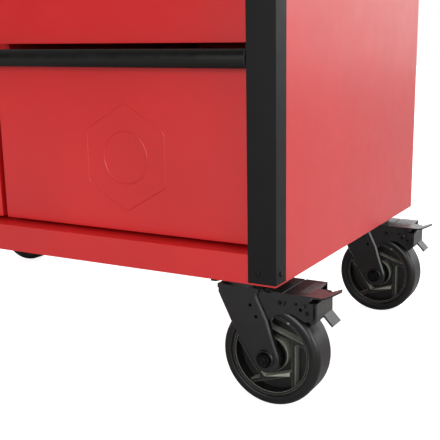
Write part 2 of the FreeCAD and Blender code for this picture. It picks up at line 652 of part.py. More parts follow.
def release_tab(y):
    """Upright tab with a flared foot, hung on a pin between the wings."""
    face = BRAKE_X + 0.6
    low = CROWN_TOP - 39
    width = WING_INNER - 1
    plate = block(face, face + TAB_THICK, y - width, y + width, low, CROWN_TOP - 14)
    foot = strip_y((face + TAB_THICK / 2, low + 1), (face + 16, low - 14), TAB_THICK, y - 2, y + 27)
    shapes = [plate, foot]
    for near in (y - width + 3, y + width - 7):
        shapes.append(disc_y(5, *TAB_PIN, near, near + 4))
        shapes.append(block(TAB_PIN[0], face + 1, near, near + 4, TAB_PIN[1] - 4, TAB_PIN[1] + 4))
    return joined(shapes).cut(disc_y(PIN_RADIUS + SHAFT_CLEARANCE, *TAB_PIN, y - width, y + width))


def rib_joints(wheel, y):
    """Straight inner corners, along Y, where the ribs meet each other outside the hub ring."""
    meeting = math.hypot(RIB_OFFSET, RIB_OFFSET * math.tan(math.pi / RIB_COUNT))
    found = []
    for edge in wheel.Edges:
        box = edge.BoundBox
        radius = math.hypot(box.Center.x, box.Center.z - WHEEL_RADIUS)
        straight = box.XLength < 0.01 and box.ZLength < 0.01 and box.YLength > RIB_FILLET
        if straight and abs(radius - meeting) < RIB_THICK:
            found.append(edge)
    return found


def rim(y):
    """Moulded wheel centre: rim band, web, hub and a pinwheel of straight ribs."""
    z = WHEEL_RADIUS

    def band(outer, inner, depth):
        solid = disc_y(outer, 0, z, y - depth / 2, y + depth / 2)
        return solid.cut(disc_y(inner, 0, z, y - depth / 2, y + depth / 2))

    shapes = [band(RIM_RADIUS, RIM_RADIUS - RIM_WALL, RIM_WIDTH),
              disc_y(RIM_RADIUS - RIM_WALL / 2, 0, z, y - RIM_WEB / 2, y + RIM_WEB / 2),
              band(HUB_RING_RADIUS, HUB_RING_RADIUS - HUB_RING_WALL, RIB_DEPTH),
              disc_y(HUB_RADIUS, 0, z, y - HUB_LENGTH / 2, y + HUB_LENGTH / 2)]
    joint_end = RIB_OFFSET * math.tan(math.pi / RIB_COUNT)
    rim_end = math.sqrt((RIM_RADIUS - RIM_WALL / 2) ** 2 - RIB_OFFSET ** 2)
    for k in range(RIB_COUNT):
        angle = 2 * math.pi * k / RIB_COUNT
        across = (math.cos(angle), math.sin(angle))
        ends = [(RIB_OFFSET * across[0] - t * across[1], z + RIB_OFFSET * across[1] + t * across[0])
                for t in (joint_end, -rim_end)]
        shapes.append(strip_y(ends[0], ends[1], RIB_THICK, y - RIB_DEPTH / 2, y + RIB_DEPTH / 2))
    wheel = joined(shapes)
    wheel = wheel.makeFillet(RIB_FILLET, rib_joints(wheel, y))
    return wheel.cut(disc_y(AXLE_RADIUS + SHAFT_CLEARANCE, 0, z, y - HUB_LENGTH, y + HUB_LENGTH))


def tyre(y):
    """Tyre with rounded shoulders, moulded on the rim."""
    half = TYRE_WIDTH / 2
    outer = disc_y(WHEEL_RADIUS, 0, WHEEL_RADIUS, y - half, y + half)
    outer = outer.makeFillet(TYRE_ROUND, [edge for edge in outer.Edges if len(edge.Vertexes) == 1])
    return outer.cut(disc_y(RIM_RADIUS, 0, WHEEL_RADIUS, y - half, y + half))


def rigid_fork(y):
    """Fixed fork: plate and two straight legs, its wheel right under the plate."""
    shoulder = PLATE_Z - 22
    left_heel, right_heel = tangent_point((-34, shoulder), -1), tangent_point((34, shoulder), 1)
    leg = [(-34, PLATE_Z), (34, PLATE_Z), (34, shoulder), right_heel, left_heel, (-34, shoulder)]
    flank = joined([prism_y(leg, y - WING_OUTER, y - WING_INNER),
                    disc_y(LEG_END_RADIUS, *AXLE, y - WING_OUTER, y - WING_INNER)])
    flank = flank.cut(disc_y(AXLE_RADIUS + SHAFT_CLEARANCE, *AXLE, y - WING_OUTER, y - WING_INNER))
    flanks = [moved(shape, RIGID_X) for shape in mirrored_pair(flank, y)]
    return joined(flanks + [plate_blank(RIGID_X, y)]).cut(Part.makeCompound(caster_bolt_holes()))


def moved(shape, x):
    """The shape shifted along X."""
    copy = shape.copy()
    copy.translate(Vector(x, 0, 0))
    return copy


def push_handle():
    """Bent tube with a round flange welded to each end, along the right side."""
    half = PUSH_HANDLE_LENGTH / 2
    root = RIGHT - TRIM_SHEET
    bend = PUSH_HANDLE_BEND
    far = root + PUSH_HANDLE_STAND
    diagonal = bend * (1 - math.sqrt(0.5))

    def at(x, y):
        return Vector(x, y, PUSH_HANDLE_Z)

    first_bend = Part.Arc(at(far - bend, -half), at(far - diagonal, diagonal - half), at(far, bend - half))
    last_bend = Part.Arc(at(far, half - bend), at(far - diagonal, half - diagonal), at(far - bend, half))
    path = [Part.makeLine(at(root, -half), at(far - bend, -half)), first_bend.toShape(),
            Part.makeLine(at(far, bend - half), at(far, half - bend)), last_bend.toShape(),
            Part.makeLine(at(far - bend, half), at(root, half))]
    circle = Part.Wire(Part.makeCircle(PUSH_HANDLE_RADIUS, at(root, -half), X_DIR))
    tube = Part.Wire(path).makePipeShell([circle], True, True)
    flanges = [Part.makeCylinder(PUSH_FLANGE_RADIUS, PUSH_FLANGE_THICK, at(root, side * half), X_DIR)
               for side in (-1, 1)]
    return joined([tube] + flanges)


def lock_centre():
    """Lock axis as (x, z)."""
    return (RIGHT - LOCK_INSET, (TOP_RAIL_Z + BODY_TOP) / 2)


def lock_housing():
    """Flanged barrel through the top rail."""
    x, z = lock_centre()
    flange = disc_y(LOCK_FLANGE_RADIUS, x, z, BODY_FRONT - 2, BODY_FRONT)
    barrel = disc_y(LOCK_BARREL_RADIUS, x, z, BODY_FRONT, BODY_FRONT + LOCK_LENGTH)
    bore = disc_y(LOCK_PLUG_RADIUS + SHAFT_CLEARANCE, x, z, BODY_FRONT - 2, BODY_FRONT + LOCK_LENGTH)
    return joined([flange, barrel]).cut(bore)


def lock_cylinder():
    """Turning plug with a keyway in front and a cam behind the housing."""
    x, z = lock_centre()
    end = BODY_FRONT + LOCK_LENGTH
    plug = disc_y(LOCK_PLUG_RADIUS, x, z, BODY_FRONT - 2.6, end + 3.5)
    keyway = block(x - 1.1, x + 1.1, BODY_FRONT - 2.6, BODY_FRONT + 12, z - 4, z + 4)
    cam = block(x - 6, x + 6, end + 0.5, end + 3.5, z - 15, z + 6)
    return joined([plug.cut(keyway), cam])


def save_cabinet():
    """Every node that stays with the cabinet."""
    for side, name in ((-1, "left"), (1, "right")):
        save("side_panel_" + name, [side_panel(side)])
        save("corner_trim_" + name, [corner_trim(side)])
    save("back_panel", [back_panel()])
    save("base_pan", [base_pan()])
    save("bottom_rail", [bottom_rail()])
    save("middle_rail", [middle_rail()])
    save("top_rail", [top_rail()])
    save("column_divider", [column_divider()])
    save("top_tray", [top_tray()])
    save("top_mat", [top_mat()])
    save("push_handle", [push_handle()])
    save("lock_housing", [lock_housing()])
    save("lock_cylinder", [lock_cylinder()])
    save("trim_screws", [trim_screw(*place) for side in (-1, 1) for place in trim_screw_places(side)])


def save_drawers():
    """Box, handle and inner slides of each drawer, and all the outer slide members."""
    outer_members = []
    for name, x0, x1, wall0, wall1, z0, z1 in drawer_plan():
        save(name + "_box", [drawer_box(x0, x1, wall0, wall1, z0, z1)])
        save(name + "_handle", [drawer_handle(x0, x1, z1)])
        save(name + "_slides", slide_pair(wall0, wall1, z0, True))
        outer_members += slide_pair(wall0, wall1, z0, False)
    save("slide_outer_members", outer_members)


def save_casters():
    """Two braked swivel casters on the right and two rigid ones on the left."""
    bolts = [bolt_places(x, y) for x, y in caster_places()]
    fixings = [caster_bolt(*place) for group in bolts for place in group]
    fixings += [caster_nut(*place) for group in bolts for place in group]
    save("caster_bolts", fixings)
    save("caster_plates", [swivel_plate(y) for y in CASTER_YS.values()])
    save("rigid_forks", [rigid_fork(y) for y in CASTER_YS.values()])
    rigid_axles = []
    for end, y in CASTER_YS.items():
        name = end + "_caster_"
        save(name + "yoke", [moved(yoke(y), WHEEL_X)])
        pins = [moved(pin, WHEEL_X) for pin in brake_pins(y)]
        save(name + "axle_and_pins", axle_bolt(WHEEL_X, y, LEG_OUTER) + pins)
        save(name + "brake_pedal", [moved(brake_pedal(y), WHEEL_X)])
        save(name + "brake_shoe", [moved(brake_shoe(y), WHEEL_X)])
        save(name + "release_tab", [moved(release_tab(y), WHEEL_X)])
        for kind, x in (("caster", WHEEL_X), ("rigid", RIGID_X)):
            save(end + "_" + kind + "_rim", [moved(rim(y), x)])
            save(end + "_" + kind + "_tyre", [moved(tyre(y), x)])
        rigid_axles += axle_bolt(RIGID_X, y, WING_OUTER)
    save("rigid_axles", rigid_axles)


os.makedirs("parts", exist_ok=True)
save_cabinet()
save_drawers()
save_casters()
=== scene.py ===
import json
import math

import bmesh
import bpy
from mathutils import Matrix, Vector


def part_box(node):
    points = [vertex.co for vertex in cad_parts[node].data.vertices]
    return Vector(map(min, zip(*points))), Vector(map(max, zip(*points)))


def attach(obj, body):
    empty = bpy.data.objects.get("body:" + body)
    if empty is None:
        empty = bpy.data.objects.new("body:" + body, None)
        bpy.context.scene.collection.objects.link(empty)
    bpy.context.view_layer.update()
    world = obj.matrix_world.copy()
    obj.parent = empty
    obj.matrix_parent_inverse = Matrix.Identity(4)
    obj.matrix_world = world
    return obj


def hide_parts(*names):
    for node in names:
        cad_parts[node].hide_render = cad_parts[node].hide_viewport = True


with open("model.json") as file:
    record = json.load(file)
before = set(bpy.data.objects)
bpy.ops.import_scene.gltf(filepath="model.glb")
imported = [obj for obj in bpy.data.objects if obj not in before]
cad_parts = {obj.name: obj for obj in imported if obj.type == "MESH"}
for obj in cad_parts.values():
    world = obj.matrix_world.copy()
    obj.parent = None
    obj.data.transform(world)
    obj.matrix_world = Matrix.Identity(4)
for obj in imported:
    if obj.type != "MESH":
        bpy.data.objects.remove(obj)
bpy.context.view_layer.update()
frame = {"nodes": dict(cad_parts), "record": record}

MM = 0.001
NODES = frame["nodes"]
BODY_OF = {node: body for body, nodes in frame["record"]["behaviour"]["bodies"].items()
           for node in nodes}
DRAWERS = [name.removesuffix("_box") for name in NODES if name.endswith("drawer_box")]
ENDS = ("front", "rear")

# Wheel centre and tyre, in millimetres from the axle's line or the wheel's middle plane.
# The web, band and hub sizes mark the faces of a wheel centre that get painted pocket shade.
WEB_HALF_MM = 4
BAND_INNER_MM = 55.5
BAND_HALF_MM = 21
HUB_RADIUS_MM = 21.8
TYRE_BORE_MM = 60.1

# Rows of small parts, in millimetres.
MAT_RIB_PITCH = 6
LINER_RIB_PITCH = 5
LINER_THICKNESS = 1.6
FULL_TURN = 6.28    # radians; the random turn of a round head about its own axis
BACK_RIVET_INSET = 24


# ---- Nodes and colours -------------------------------------------------------------------------

def paint(code):
    """Linear colour of an sRGB hex code."""
    parts = [int(code[i:i + 2], 16) / 255 for i in (1, 3, 5)]
    return [c / 12.92 if c <= 0.04045 else ((c + 0.055) / 1.055) ** 2.4 for c in parts] + [1.0]


def add(tree, kind, inputs=None, **settings):
    """Adds one node: settings are its properties, and inputs are values or other nodes' sockets."""
    made = tree.nodes.new(kind)
    for name, value in settings.items():
        setattr(made, name, value)
    for name, value in (inputs or {}).items():
        socket = made.inputs[name]
        if isinstance(value, bpy.types.NodeSocket):
            tree.links.new(value, socket)
        else:
            socket.default_value = value
    return made


NOISE, RANGE, MIX, BUMP = "ShaderNodeTexNoise", "ShaderNodeMapRange", "ShaderNodeMix", "ShaderNodeBump"
MAPPING, VORONOI = "ShaderNodeMapping", "ShaderNodeTexVoronoi"
MOST_NOISE = {"From Min": 0.3, "From Max": 0.7}    # the span that most of a noise texture's values fall in


def across(size_mm):
    """Texture scale whose features are about size_mm across."""
    return 1 / (size_mm * MM)


def blank(name, **sockets):
    """A material with a Principled shader whose sockets are set, and the object's own coordinates."""
    material = bpy.data.materials.new(name)
    material.use_nodes = True
    tree = material.node_tree
    shader = tree.nodes["Principled BSDF"]
    for key, value in sockets.items():
        shader.inputs[key.replace("_", " ")].default_value = value
    place = add(tree, "ShaderNodeTexCoord").outputs["Object"]
    return material, tree, shader, place


def joined(tree, shader, colour, gloss, relief):
    """Links the last nodes of a finish's colour, roughness and relief into its shader."""
    tree.links.new(colour.outputs[2], shader.inputs["Base Color"])
    tree.links.new(gloss.outputs[0], shader.inputs["Roughness"])
    tree.links.new(relief.outputs[0], shader.inputs["Normal"])


# ---- Finishes ----------------------------------------------------------------------------------

def powder_coat(name, light, dark, gloss, coat, specular=0.5, peel_mm=3.2, peel_depth=0.008):
    """Powder coat baked on sheet steel: an even skin whose orange peel ripples the reflections."""
    material, tree, shader, place = blank(name, IOR=1.5, Coat_Weight=coat, Coat_Roughness=0.26,
                                          Specular_IOR_Level=specular)
    cloud = add(tree, NOISE, {"Vector": place, "Scale": across(160), "Detail": 1.0})
    share = add(tree, RANGE, {"Value": cloud.outputs["Fac"], **MOST_NOISE})
    colour = add(tree, MIX, {0: share.outputs[0], 6: paint(light), 7: paint(dark)}, data_type="RGBA")
    haze = add(tree, NOISE, {"Vector": place, "Scale": across(35), "Detail": 3.0})
    rough = add(tree, RANGE, {"Value": haze.outputs["Fac"], **MOST_NOISE, "To Min": gloss - 0.03,
                              "To Max": gloss + 0.04})
    peel = add(tree, NOISE, {"Vector": place, "Scale": across(peel_mm), "Detail": 1.0})
    relief = add(tree, BUMP, {"Height": peel.outputs["Fac"], "Distance": peel_depth * MM})
    joined(tree, shader, colour, rough, relief)
    return material


def drawn_anodised(name, light, dark):
    """Black anodised aluminium extrusion: draw lines along its length and a soft metallic sheen."""
    material, tree, shader, place = blank(name, Metallic=1.0, Anisotropic=0.5)
    # Real draw lines are finer; these are 0.35 mm apart so that they catch the light at all.
    along = add(tree, MAPPING, {"Vector": place, "Scale": [1 / 600, 1, 1]})
    lines = add(tree, NOISE, {"Vector": along.outputs[0], "Scale": across(0.35), "Detail": 3.0,
                              "Roughness": 0.6})
    share = add(tree, RANGE, {"Value": lines.outputs["Fac"], **MOST_NOISE})
    colour = add(tree, MIX, {0: share.outputs[0], 6: paint(light), 7: paint(dark)}, data_type="RGBA")
    haze = add(tree, NOISE, {"Vector": place, "Scale": across(18), "Detail": 2.0})
    rough = add(tree, RANGE, {"Value": haze.outputs["Fac"], **MOST_NOISE, "To Min": 0.3, "To Max": 0.4})
    relief = add(tree, BUMP, {"Height": lines.outputs["Fac"], "Distance": 0.01 * MM})
    joined(tree, shader, colour, rough, relief)
    return material


def dipped_black(name, light, dark, gloss):
    """Black e-coat on pressed steel: glossy, a little uneven where it ran and dried in the dip."""
    material, tree, shader, place = blank(name, IOR=1.5, Coat_Weight=0.3, Coat_Roughness=0.1)
    cloud = add(tree, NOISE, {"Vector": place, "Scale": across(14), "Detail": 3.0})
    share = add(tree, RANGE, {"Value": cloud.outputs["Fac"], **MOST_NOISE})
    colour = add(tree, MIX, {0: share.outputs[0], 6: paint(light), 7: paint(dark)}, data_type="RGBA")
    haze = add(tree, NOISE, {"Vector": place, "Scale": across(7), "Detail": 3.0})
    rough = add(tree, RANGE, {"Value": haze.outputs["Fac"], **MOST_NOISE, "To Min": gloss - 0.06,
                              "To Max": gloss + 0.08})
    runs = add(tree, NOISE, {"Vector": place, "Scale": across(5), "Detail": 1.0})
    relief = add(tree, BUMP, {"Height": runs.outputs["Fac"], "Distance": 0.012 * MM})
    joined(tree, shader, colour, rough, relief)
    return material


def bright_zinc(name, light, dark):
    """Zinc plate on rolled steel: bright metal with faint rolling lines and cloudy passivation."""
    material, tree, shader, place = blank(name, Metallic=1.0)
    cloud = add(tree, NOISE, {"Vector": place, "Scale": across(22), "Detail": 3.0})
    share = add(tree, RANGE, {"Value": cloud.outputs["Fac"], **MOST_NOISE})
    colour = add(tree, MIX, {0: share.outputs[0], 6: paint(light), 7: paint(dark)}, data_type="RGBA")
    # Rolling lines are finer on the real strip; these are 0.5 mm apart so that they show.
    along = add(tree, MAPPING, {"Vector": place, "Scale": [1, 1 / 120, 1]})
    lines = add(tree, NOISE, {"Vector": along.outputs[0], "Scale": across(0.5), "Detail": 2.0})
    rough = add(tree, RANGE, {"Value": lines.outputs["Fac"], **MOST_NOISE, "To Min": 0.26, "To Max": 0.42})
    relief = add(tree, BUMP, {"Height": lines.outputs["Fac"], "Distance": 0.006 * MM})
    joined(tree, shader, colour, rough, relief)
    return material


def oxide_black(name, light, dark):
    """Black oxide on turned steel: dark, oily, with brighter metal where it is rubbed."""
    material, tree, shader, place = blank(name, Metallic=1.0)
    wear = add(tree, NOISE, {"Vector": place, "Scale": across(3), "Detail": 3.0})
    rubbed = add(tree, RANGE, {"Value": wear.outputs["Fac"], "From Min": 0.4, "From Max": 0.75})
    colour = add(tree, MIX, {0: rubbed.outputs[0], 6: paint(light), 7: paint(dark)}, data_type="RGBA")
    oil = add(tree, NOISE, {"Vector": place, "Scale": across(2), "Detail": 2.0})
    rough = add(tree, RANGE, {"Value": oil.outputs["Fac"], **MOST_NOISE, "To Min": 0.3, "To Max": 0.5})
    turned = add(tree, NOISE, {"Vector": place, "Scale": across(0.6), "Detail": 2.0})
    relief = add(tree, BUMP, {"Height": turned.outputs["Fac"], "Distance": 0.006 * MM})
    joined(tree, shader, colour, rough, relief)
    return material


def moulded_nylon(name, light, dark):
    """Glass-filled nylon from a spark-eroded mould: matt grain with flow marks."""
    material, tree, shader, place = blank(name, IOR=1.53)
    flow = add(tree, NOISE, {"Vector": place, "Scale": across(20), "Detail": 4.0, "Roughness": 0.6})
    share = add(tree, RANGE, {"Value": flow.outputs["Fac"], **MOST_NOISE})
    colour = add(tree, MIX, {0: share.outputs[0], 6: paint(light), 7: paint(dark)}, data_type="RGBA")
    haze = add(tree, NOISE, {"Vector": place, "Scale": across(4), "Detail": 3.0})
    rough = add(tree, RANGE, {"Value": haze.outputs["Fac"], **MOST_NOISE, "To Min": 0.38, "To Max": 0.55})
    # The mould's grain is nearer 0.1 mm; it is drawn at 0.7 mm so that it shows.
    mould = add(tree, NOISE, {"Vector": place, "Scale": across(0.7), "Detail": 2.0})
    relief = add(tree, BUMP, {"Height": mould.outputs["Fac"], "Distance": 0.012 * MM})
    joined(tree, shader, colour, rough, relief)
    return material


def moulded_tread(name, light, dark):
    """Cast polyurethane tyre: satin, faintly uneven, with a trace of dust."""
    material, tree, shader, place = blank(name, IOR=1.5)
    dirt = add(tree, NOISE, {"Vector": place, "Scale": across(9), "Detail": 4.0, "Roughness": 0.65})
    dust = add(tree, RANGE, {"Value": dirt.outputs["Fac"], "From Min": 0.45, "From Max": 0.8})
    colour = add(tree, MIX, {0: dust.outputs[0], 6: paint(light), 7: paint(dark)}, data_type="RGBA")
    haze = add(tree, NOISE, {"Vector": place, "Scale": across(5), "Detail": 3.0})
    rough = add(tree, RANGE, {"Value": haze.outputs["Fac"], **MOST_NOISE, "To Min": 0.3, "To Max": 0.4})
    cast = add(tree, NOISE, {"Vector": place, "Scale": across(6), "Detail": 1.0})
    relief = add(tree, BUMP, {"Height": cast.outputs["Fac"], "Distance": 0.006 * MM})
    joined(tree, shader, colour, rough, relief)
    return material


def calendered_rubber(name, light, dark, cell_mm):
    """Rubber sheet rolled on a patterned drum: matt, with small raised cells."""
    material, tree, shader, place = blank(name, IOR=1.52)
    cloud = add(tree, NOISE, {"Vector": place, "Scale": across(30), "Detail": 4.0})
    share = add(tree, RANGE, {"Value": cloud.outputs["Fac"], **MOST_NOISE})
    colour = add(tree, MIX, {0: share.outputs[0], 6: paint(light), 7: paint(dark)}, data_type="RGBA")
    haze = add(tree, NOISE, {"Vector": place, "Scale": across(3), "Detail": 3.0})
    rough = add(tree, RANGE, {"Value": haze.outputs["Fac"], **MOST_NOISE, "To Min": 0.6, "To Max": 0.78})
    cells = add(tree, VORONOI, {"Vector": place, "Scale": across(cell_mm), "Randomness": 0.0})
    raised = add(tree, BUMP, {"Height": cells.outputs["Distance"], "Distance": -0.5 * MM})
    grit = add(tree, NOISE, {"Vector": place, "Scale": across(0.5), "Detail": 2.0})
    relief = add(tree, BUMP, {"Height": grit.outputs["Fac"], "Distance": 0.02 * MM,
                              "Normal": raised.outputs[0]})
    joined(tree, shader, colour, rough, relief)
    return material


def satin_chrome(name, light, dark):
    """Satin chrome on die-cast zinc: pale metal with a soft brushed blur."""
    material, tree, shader, place = blank(name, Metallic=1.0)
    cloud = add(tree, NOISE, {"Vector": place, "Scale": across(4), "Detail": 3.0})
    share = add(tree, RANGE, {"Value": cloud.outputs["Fac"], **MOST_NOISE})
    colour = add(tree, MIX, {0: share.outputs[0], 6: paint(light), 7: paint(dark)}, data_type="RGBA")
    along = add(tree, MAPPING, {"Vector": place, "Scale": [1, 1, 1 / 14]})
    lines = add(tree, NOISE, {"Vector": along.outputs[0], "Scale": across(0.3), "Detail": 2.0})
    rough = add(tree, RANGE, {"Value": lines.outputs["Fac"], **MOST_NOISE, "To Min": 0.16, "To Max": 0.3})
    relief = add(tree, BUMP, {"Height": lines.outputs["Fac"], "Distance": 0.004 * MM})
    joined(tree, shader, colour, rough, relief)
    return material


FINISHES = {
    "red_enamel": powder_coat("red_powder_coated_steel", "#d11a1d", "#ca171a", 0.38, 0.6),
    "black_enamel": powder_coat("black_powder_coated_steel", "#0a0a0a", "#0d0d0d", 0.42, 0.0, 0.24, 1.8,
                                0.006),
    "black_anodised": drawn_anodised("black_anodised_aluminium", "#3c3c3a", "#2c2c2d"),
    "caster_black": dipped_black("black_dipped_pressed_steel", "#080808", "#0d0d0e", 0.34),
    "zinc_steel": bright_zinc("zinc_plated_steel", "#bfc2c3", "#b2b5b7"),
    "black_oxide": oxide_black("black_oxide_steel", "#1d1d1e", "#38383a"),
    "olive_nylon": moulded_nylon("olive_grey_moulded_nylon", "#a2a395", "#8e8f82"),
    "tyre_rubber": moulded_tread("black_cast_polyurethane", "#0b0b0b", "#121211"),
    "mat_rubber": calendered_rubber("black_calendered_rubber", "#161616", "#1f1f1e", 5.0),
    "lock_chrome": satin_chrome("satin_chromed_zinc", "#d5d7d8", "#b9bbbc"),
}
FINISHES.update({
    # Near-black nylon: on the wheel centres it is painted shade in the deep pockets; on the hub shields and
    # seal rings it is their own black.
    "seal_black_and_pocket_shade": moulded_nylon("black_nylon_and_painted_pocket_shade", "#070707", "#0c0c0b"),
    "worn_black": dipped_black("worn_dipped_pressed_steel", "#1c1c1b", "#262524", 0.38),
    "liner_rubber": calendered_rubber("grey_drawer_liner_rubber", "#2c2d2e", "#363738", 3.0),
    "cap_black": moulded_nylon("black_moulded_end_cap", "#151515", "#1d1d1d"),
})
SLOT_OF = {part["node"]: part["material_slot"] for part in frame["record"]["subparts"]}


# ---- Pieces ------------------------------------------------------------------------------------

def put_in_scene(name, mesh, finish, body):
    """Links a finished mesh as a piece with its finish, riding on a body."""
    piece = bpy.data.objects.new(name, mesh)
    bpy.context.scene.collection.objects.link(piece)
    if finish is not None:
        mesh.materials.clear()
        mesh.materials.append(FINISHES[finish])
    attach(piece, body)
    return piece


def baked(piece):
    """The evaluated piece as a plain mesh, and the piece itself removed."""
    depsgraph = bpy.context.evaluated_depsgraph_get()
    mesh = bpy.data.meshes.new_from_object(piece.evaluated_get(depsgraph), depsgraph=depsgraph)
    bpy.data.objects.remove(piece)
    return mesh


def softened(node, radius_mm):
    """Copy of a CAD node with its loose triangles merged and its sharp edges rolled over."""
    work = bmesh.new()
    work.from_mesh(NODES[node].data)
    bmesh.ops.remove_doubles(work, verts=work.verts, dist=0.002 * MM)
    bmesh.ops.dissolve_limit(work, angle_limit=math.radians(0.5), verts=work.verts, edges=work.edges)
    mesh = bpy.data.meshes.new(node)
    work.to_mesh(mesh)
    work.free()
    for face in mesh.polygons:
        face.use_smooth = True
    piece = bpy.data.objects.new(node + "_blank", mesh)
    bpy.context.scene.collection.objects.link(piece)
    roll = piece.modifiers.new("roll", "BEVEL")
    roll.width = radius_mm * MM
    roll.segments = 2
    roll.limit_method = "ANGLE"
    roll.angle_limit = math.radians(28)
    flat = piece.modifiers.new("flat", "WEIGHTED_NORMAL")
    flat.keep_sharp = True
    flat.weight = 90
    finished = put_in_scene(node + "_finished", baked(piece), SLOT_OF[node], BODY_OF[node])
    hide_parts(node)
    return finished


def finish_nodes():
    """Every CAD node gets its finish, and the ones in sight get rolled edges."""
    radii = {"side_panel": 0.6, "back_panel": 0.5, "bottom_rail": 0.7, "top_rail": 0.7, "middle_rail": 0.5,
             "corner_trim": 0.45, "top_tray": 1.2, "caster_yoke": 1.3, "brake_pedal": 0.9, "brake_shoe": 1.0,
             "release_tab": 1.0, "_rim": 0.9, "rigid_forks": 1.0, "drawer_box": 0.6, "drawer_handle": 0.6,
             "axle": 0.5, "caster_plates": 0.8, "caster_bolts": 0.35, "base_pan": 0.5, "_slides": 0.25,
             "slide_outer": 0.25, "lock_": 0.3}
    for node, cad in NODES.items():
        cad.data.materials.clear()
        cad.data.materials.append(FINISHES[SLOT_OF[node]])
        for word, radius in radii.items():
            if word in node:
                finished = softened(node, radius)
                # Wheel centres get painted shade in their pockets.
                if word == "_rim":
                    paint_pocket_shade(finished)
                if word == "release_tab":
                    finished.data.materials[0] = FINISHES["worn_black"]
                break


def paint_pocket_shade(wheel):
    """Paints shade: web, band and hub of a wheel centre get a near-black finish that stands in for the shade
    deep in its pockets; only the ribs and rings stay olive grey.
    """
    low, high = wheel.bound_box[0], wheel.bound_box[6]
    centre = [(low[i] + high[i]) / 2 for i in range(3)]
    wheel.data.materials.append(FINISHES["seal_black_and_pocket_shade"])
    for face in wheel.data.polygons:
        x, y, z = (face.center[i] - centre[i] for i in range(3))
        radius = math.hypot(x, z)
        on_web = abs(y) < WEB_HALF_MM * MM
        on_band = radius > BAND_INNER_MM * MM and abs(y) < BAND_HALF_MM * MM
        in_hub = radius < HUB_RADIUS_MM * MM
        if on_web or on_band or in_hub:
            face.material_index = 1


# ---- Pieces made here --------------------------------------------------------------------------

def spun(name, profile, centre, finish, body, segments=160):
    """Closed profile of (radius, y) in mm turned round a Y axis through a centre in metres."""
    work = bmesh.new()
    rings = []
    for k in range(segments):
        angle = 2 * math.pi * k / segments
        rings.append([work.verts.new((centre[0] + r * MM * math.cos(angle), centre[1] + y * MM,
                                      centre[2] + r * MM * math.sin(angle))) for r, y in profile])
    for k, ring in enumerate(rings):
        following = rings[(k + 1) % segments]
        for i, vert in enumerate(ring):
            j = (i + 1) % len(ring)
            work.faces.new((vert, ring[j], following[j], following[i]))
    return closed(name, work, finish, body)


def closed(name, work, finish, body, smooth=35):
    """Turns a bmesh into a piece with outward faces, smooth but for edges sharper than an angle."""
    bmesh.ops.recalc_face_normals(work, faces=work.faces)
    for edge in work.edges:
        edge.smooth = edge.calc_face_angle(0) < math.radians(smooth)
    mesh = bpy.data.meshes.new(name)
    work.to_mesh(mesh)
    work.free()
    for face in mesh.polygons:
        face.use_smooth = True
    return put_in_scene(name, mesh, finish, body)


def arc(centre, radius, start, end, steps):
    """Points of an arc in degrees, as (radius, y) pairs in mm."""
    found = []
    for k in range(steps + 1):
        angle = math.radians(start + (end - start) * k / steps)
        found.append((centre[0] + radius * math.cos(angle), centre[1] + radius * math.sin(angle)))
    return found


def middle_of(node):
    """Centre of a CAD node's box, in metres."""
    low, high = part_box(node)
    return [(low[i] + high[i]) / 2 for i in range(3)]


def moulded_tyre(node):
    """Tyre with a flat tread, rounded shoulders, a bead step by the rim and a mould parting line."""
    low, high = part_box(node)
    radius = (high[2] - low[2]) / 2 / MM
    half = (high[1] - low[1]) / 2 / MM
    inner = TYRE_BORE_MM
    side = [(inner, half - 3.2), (inner + 1.6, half - 2.8), (inner + 2.2, half - 0.4),
            (inner + 3, half - 0.02)]
    shoulder = arc((radius - 8.62, half - 8.62), 8.6, 88, 2, 12)
    tread = [(radius - 0.02, half - 9.4), (radius - 0.02, half - 11), (radius - 0.02, 1.6),
             (radius - 0.02, 0.6), (radius - 0.14, 0.25), (radius - 0.14, 0)]
    right = side + shoulder + tread
    left = [(r, -y) for r, y in reversed(right[:-1])]
    tyre = spun(node + "_moulded", right + left, middle_of(node), "tyre_rubber", BODY_OF[node], 200)
    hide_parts(node)


def hub_details(node):
    """Bearing shields and a lipped seal ring on both faces of a wheel centre."""
    centre = middle_of(node)
    for side, word in ((-1, "front"), (1, "back")):
        shield = [(15.3, 11.0), (20.7, 11.0), (20.7, 13.2), (19.4, 14.4), (18.0, 13.6), (16.6, 13.6),
                  (15.9, 15.2), (15.3, 15.2)]
        spun(f"{node}_seal_{word}", [(r, side * y) for r, y in shield], centre, "seal_black_and_pocket_shade",
             BODY_OF[node], 96)
        lip = [(21.4, 17.6), (21.4, 18.2), (22.4, 18.9), (23.6, 18.9), (24.6, 18.2), (24.6, 17.6)]
        spun(f"{node}_ring_{word}", [(r, side * y) for r, y in lip], centre, "seal_black_and_pocket_shade",
             BODY_OF[node], 96)


